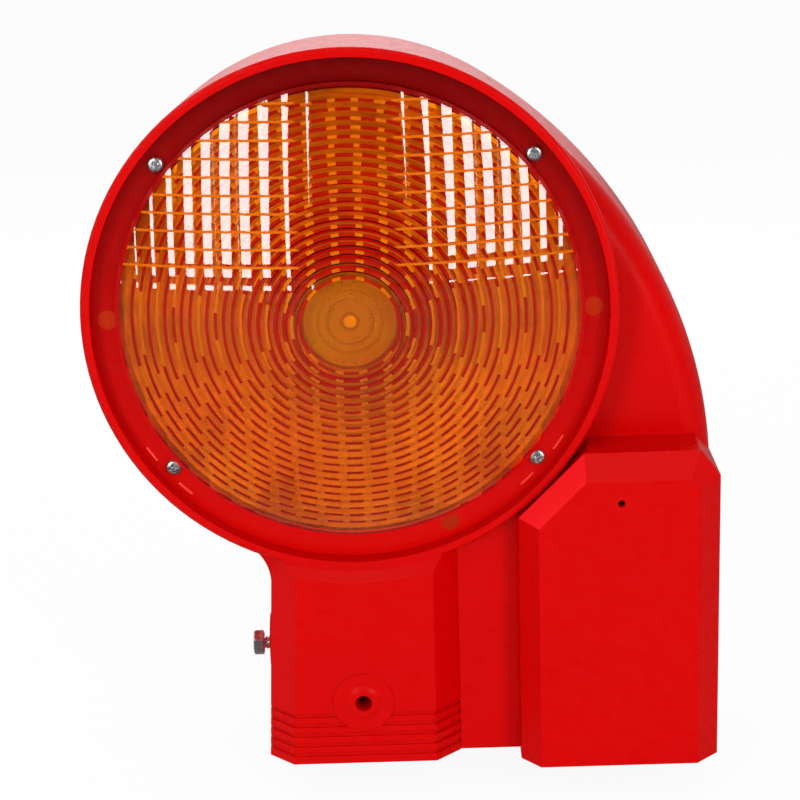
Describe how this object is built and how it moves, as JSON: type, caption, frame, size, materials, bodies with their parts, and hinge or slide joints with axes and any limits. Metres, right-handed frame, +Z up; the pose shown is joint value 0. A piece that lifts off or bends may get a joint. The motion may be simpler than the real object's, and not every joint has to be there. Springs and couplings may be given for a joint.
{
  "type": "warning lamp",
  "caption": "Roadworks warning lamp: round domed amber lens in a red moulded housing, with a curved shoulder, a hinged battery box cover and a foot with a clamped post socket.",
  "frame": {"origin": "centre of the post socket's mouth, on the plane that the foot and the battery box stand on", "axes": "+Z up along the post, -Y the way the lens looks, +X to the right seen from the front"},
  "size_m": [0.2587, 0.089, 0.3039],
  "materials": {
    "housing_red": "glossy moulded plastic",
    "cover_red": "glossy moulded plastic",
    "holder_red": "satin moulded plastic",
    "amber_lens": "clear amber plastic with moulded optics",
    "clear_optic": "clear polished plastic",
    "silver_reflector": "metallised plastic",
    "seal_rubber": "matt rubber",
    "zinc_steel": "zinc plated steel",
    "spring_steel": "nickel plated steel",
    "board_green": "solder mask on a circuit board",
    "board_aluminium": "white coated aluminium core board",
    "emitter_yellow": "phosphor coated emitter",
    "carrier_black": "satin moulded plastic",
    "battery_case": "printed card and plastic sleeve"
  },
  "bodies": {
    "housing": {"main_housing": "housing_red", "rear_cover": "housing_red", "led_holder": "holder_red", "front_lens": "amber_lens", "collimator_lens": "clear_optic", "reflector": "silver_reflector", "lens_gasket": "seal_rubber", "rear_gasket": "seal_rubber", "lens_screws": "zinc_steel", "rear_cover_screws": "zinc_steel", "holder_screws": "zinc_steel", "carrier_screws": "zinc_steel", "board_screws": "zinc_steel", "clamp_nut": "zinc_steel", "hinge_pin": "zinc_steel", "battery_terminals": "spring_steel", "contact_plates": "spring_steel", "control_board": "board_green", "led_board": "board_aluminium", "led_emitter": "emitter_yellow", "contact_carrier": "carrier_black", "push_switch": "carrier_black", "battery": "battery_case"},
    "cover": {"battery_cover": "cover_red", "cover_seal": "seal_rubber"},
    "plunger": {"switch_plunger": "carrier_black"},
    "pad": {"clamp_pad": "carrier_black"},
    "bolt": {"clamp_bolt": "zinc_steel"}
  },
  "joints": [
    {"name": "cover_hinge", "type": "hinge", "parent": "housing", "child": "cover", "pos_m": [0.10815, -0.0343, 0.003], "axis": [1, 0, 0], "range_deg": [0, 85]},
    {"name": "switch_press", "type": "slide", "parent": "housing", "child": "plunger", "axis": [0, 1, 0], "range_m": [0, 0.002], "stiffness_N_per_m": 400, "springref_m": -0.0005},
    {"name": "pad_travel", "type": "slide", "parent": "housing", "child": "pad", "axis": [1, 0, 0], "range_m": [-0.008, 0.0029]},
    {"name": "bolt_turn", "type": "hinge", "parent": "pad", "child": "bolt", "pos_m": [-0.03, 0, 0.039], "axis": [1, 0, 0], "range_deg": [-2882, 1046]}
  ],
  "couplings": [
    {"joint": "bolt_turn", "follows": "pad_travel", "rad_per_m": 6283.2}
  ]
}
